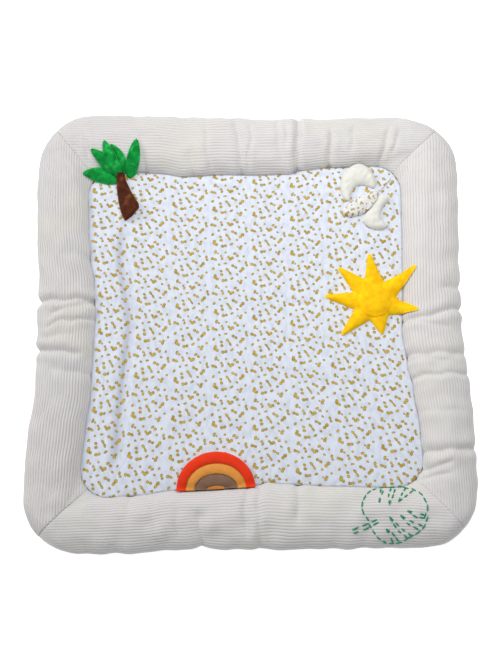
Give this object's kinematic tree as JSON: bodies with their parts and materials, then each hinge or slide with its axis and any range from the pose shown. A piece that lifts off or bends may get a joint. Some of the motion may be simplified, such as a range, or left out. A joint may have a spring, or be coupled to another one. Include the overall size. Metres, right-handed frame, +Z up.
{
  "type": "padded baby play mat",
  "caption": "Square padded baby play mat with a puffy corduroy border, a printed muslin middle and a sewn-on plush palm, moon toy, sun and rainbow.",
  "frame": {"origin": "middle of the underside's bounding box, on the floor", "axes": "+Z up out of the mat's face, +Y towards the side with the palm and the moon toy, +X towards the side with the sun"},
  "size_m": [0.9731, 0.9981, 0.0671],
  "materials": {
    "corduroy": "jumbo corduroy, light greige, soft matt pile",
    "printed_muslin": "white cotton muslin with a small mustard print, matt",
    "trunk_plush": "short brown plush",
    "leaf_plush": "short bright green plush",
    "moon_velour": "cream velour",
    "sun_plush": "short golden yellow plush",
    "red_felt": "smooth red velour",
    "amber_felt": "smooth amber velour",
    "brown_felt": "smooth brown velour"
  },
  "bodies": {
    "root": {"border_top": "corduroy", "border_right": "corduroy", "border_bottom": "corduroy", "border_left": "corduroy", "middle_pad": "printed_muslin", "palm_trunk": "trunk_plush", "palm_leaf_1": "leaf_plush", "palm_leaf_2": "leaf_plush", "palm_leaf_3": "leaf_plush", "palm_leaf_4": "leaf_plush", "palm_leaf_5": "leaf_plush", "moon_upper": "moon_velour", "moon_lower": "moon_velour", "moon_tie": "printed_muslin", "moon_strap": "printed_muslin", "sun_star": "sun_plush", "sun_face": "sun_plush", "rainbow_red": "red_felt", "rainbow_amber": "amber_felt", "rainbow_brown": "brown_felt", "rainbow_core": "amber_felt"}
  },
  "joints": []
}
